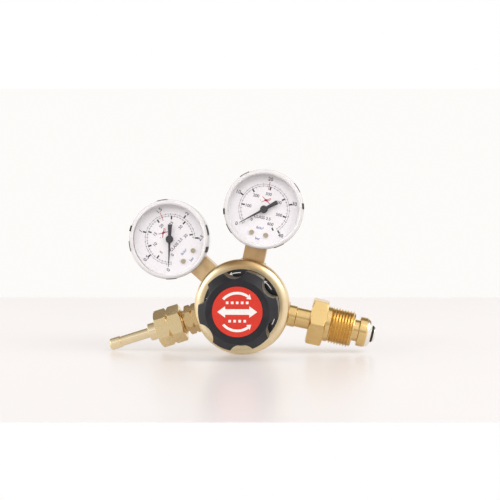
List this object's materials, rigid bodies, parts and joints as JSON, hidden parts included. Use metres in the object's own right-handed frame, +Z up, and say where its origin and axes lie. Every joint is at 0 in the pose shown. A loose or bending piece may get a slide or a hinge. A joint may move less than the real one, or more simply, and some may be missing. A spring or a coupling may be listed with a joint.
{
  "type": "acetylene pressure regulator",
  "caption": "Side-entry gas pressure regulator with inlet and outlet gauges, an adjusting knob, a left-hand inlet nut and a hose tail.",
  "frame": {"origin": "under the middle of the whole part's box, on the surface it stands on", "axes": "+X along the inlet side, +Y from the adjusting knob to the back, +Z up"},
  "size_m": [0.1688, 0.0736, 0.114],
  "materials": {
    "brass": "turned and polished",
    "dark_brass": "drawn, satin",
    "bronze": "satin",
    "steel": "satin",
    "chrome": "polished",
    "rubber": "matte",
    "seal": "translucent, matte",
    "knob_plastic": "moulded, satin",
    "label_plastic": "gloss",
    "red_disc": "printed, gloss",
    "dial_white": "printed, satin",
    "pointer_black": "painted matte",
    "lens": "clear"
  },
  "bodies": {
    "root": {"body": "brass", "valve_cap": "brass", "cap_seal": "bronze", "valve_nozzle": "brass", "poppet_spring": "steel", "diaphragm": "rubber", "slip_ring": "brass", "main_spring": "steel", "bonnet": "brass", "bonnet_label": "label_plastic", "inlet_nipple": "brass", "inlet_filter": "bronze", "inlet_o_ring": "rubber", "outlet_adapter": "brass", "inlet_gauge_case": "chrome", "inlet_gauge_lens": "lens", "inlet_gauge_lens_seal": "seal", "inlet_gauge_dial": "dial_white", "inlet_gauge_dial_screws": "brass", "inlet_gauge_hairspring": "bronze", "inlet_gauge_movement_frame": "brass", "inlet_gauge_bourdon_tube": "bronze", "inlet_gauge_socket": "brass", "inlet_gauge_blowout_plug": "rubber", "outlet_gauge_case": "chrome", "outlet_gauge_lens": "lens", "outlet_gauge_lens_seal": "seal", "outlet_gauge_dial": "dial_white", "outlet_gauge_dial_screws": "brass", "outlet_gauge_hairspring": "bronze", "outlet_gauge_movement_frame": "brass", "outlet_gauge_bourdon_tube": "bronze", "outlet_gauge_socket": "brass", "outlet_gauge_blowout_plug": "rubber"},
    "spring_pusher": {"spring_button": "steel"},
    "knob_assembly": {"knob": "knob_plastic", "knob_disc": "red_disc", "adjusting_screw": "steel"},
    "valve_train": {"diaphragm_plate": "brass", "diaphragm_nut": "brass", "valve_poppet": "steel"},
    "inlet_nut": {"inlet_nut": "brass"},
    "hose_tail": {"hose_tail": "brass"},
    "outlet_nut": {"outlet_nut": "brass"},
    "inlet_gauge_pointer": {"inlet_gauge_pointer": "pointer_black", "inlet_gauge_pinion_arbor": "dark_brass"},
    "inlet_gauge_sector": {"inlet_gauge_sector": "brass"},
    "inlet_gauge_link": {"inlet_gauge_link": "brass"},
    "outlet_gauge_pointer": {"outlet_gauge_pointer": "pointer_black", "outlet_gauge_pinion_arbor": "dark_brass"},
    "outlet_gauge_sector": {"outlet_gauge_sector": "brass"},
    "outlet_gauge_link": {"outlet_gauge_link": "brass"}
  },
  "joints": [
    {"name": "screw_travel", "type": "slide", "parent": "root", "child": "spring_pusher", "axis": [0, 1, 0], "range_m": [0, 0.006], "deforming": ["main_spring"]},
    {"name": "knob_turn", "type": "hinge", "parent": "spring_pusher", "child": "knob_assembly", "pos_m": [0.00149, 0, 0.0294], "axis": [0, 1, 0], "range_deg": [0, 1440]},
    {"name": "valve_lift", "type": "slide", "parent": "root", "child": "valve_train", "axis": [0, 1, 0], "range_m": [0, 0.0008], "deforming": ["poppet_spring", "diaphragm"]},
    {"name": "inlet_nut_spin", "type": "hinge", "parent": "root", "child": "inlet_nut", "pos_m": [0.0503, 0.0172, 0.01858], "axis": [0.9763, 0, -0.2164], "continuous": true},
    {"name": "tail_slide", "type": "slide", "parent": "root", "child": "hose_tail", "axis": [-0.9527, 0, -0.304], "range_m": [0, 0.00705]},
    {"name": "outlet_nut_turn", "type": "hinge", "parent": "hose_tail", "child": "outlet_nut", "pos_m": [-0.04463, 0.0172, 0.01604], "axis": [0.9527, 0, 0.304], "range_deg": [0, 1800]},
    {"name": "inlet_gauge_pointer_turn", "type": "hinge", "parent": "root", "child": "inlet_gauge_pointer", "pos_m": [0.0148, 0.0172, 0.08944], "axis": [0, 1, 0], "range_deg": [0, 266], "stiffness_Nm_per_rad": 0.0005, "springref_deg": -28.65, "deforming": ["inlet_gauge_bourdon_tube", "inlet_gauge_hairspring"]},
    {"name": "inlet_gauge_sector_turn", "type": "hinge", "parent": "root", "child": "inlet_gauge_sector", "pos_m": [0.01269, 0.0172, 0.07992], "axis": [0, 1, 0], "range_deg": [-48.4, 0]},
    {"name": "inlet_gauge_link_turn", "type": "hinge", "parent": "inlet_gauge_sector", "child": "inlet_gauge_link", "pos_m": [0.0103, 0.0172, 0.07672], "axis": [0, 1, 0], "range_deg": [0, 48.4]},
    {"name": "outlet_gauge_pointer_turn", "type": "hinge", "parent": "root", "child": "outlet_gauge_pointer", "pos_m": [-0.04385, 0.0172, 0.07095], "axis": [0, 1, 0], "range_deg": [0, 266], "stiffness_Nm_per_rad": 0.0005, "springref_deg": -28.65, "deforming": ["outlet_gauge_bourdon_tube", "outlet_gauge_hairspring"]},
    {"name": "outlet_gauge_sector_turn", "type": "hinge", "parent": "root", "child": "outlet_gauge_sector", "pos_m": [-0.03666, 0.0172, 0.06436], "axis": [0, 1, 0], "range_deg": [-48.4, 0]},
    {"name": "outlet_gauge_link_turn", "type": "hinge", "parent": "outlet_gauge_sector", "child": "outlet_gauge_link", "pos_m": [-0.03508, 0.0172, 0.06069], "axis": [0, 1, 0], "range_deg": [0, 48.4]}
  ],
  "couplings": [
    {"joint": "screw_travel", "follows": "knob_turn", "m_per_rad": 0.0002387},
    {"joint": "valve_lift", "follows": "knob_turn", "m_per_rad": 0.0000318},
    {"joint": "outlet_nut_turn", "follows": "tail_slide", "rad_per_m": 4454},
    {"joint": "inlet_gauge_sector_turn", "follows": "inlet_gauge_pointer_turn", "ratio": -0.18182},
    {"joint": "inlet_gauge_link_turn", "follows": "inlet_gauge_pointer_turn", "ratio": 0.18182},
    {"joint": "outlet_gauge_sector_turn", "follows": "outlet_gauge_pointer_turn", "ratio": -0.18182},
    {"joint": "outlet_gauge_link_turn", "follows": "outlet_gauge_pointer_turn", "ratio": 0.18182}
  ]
}
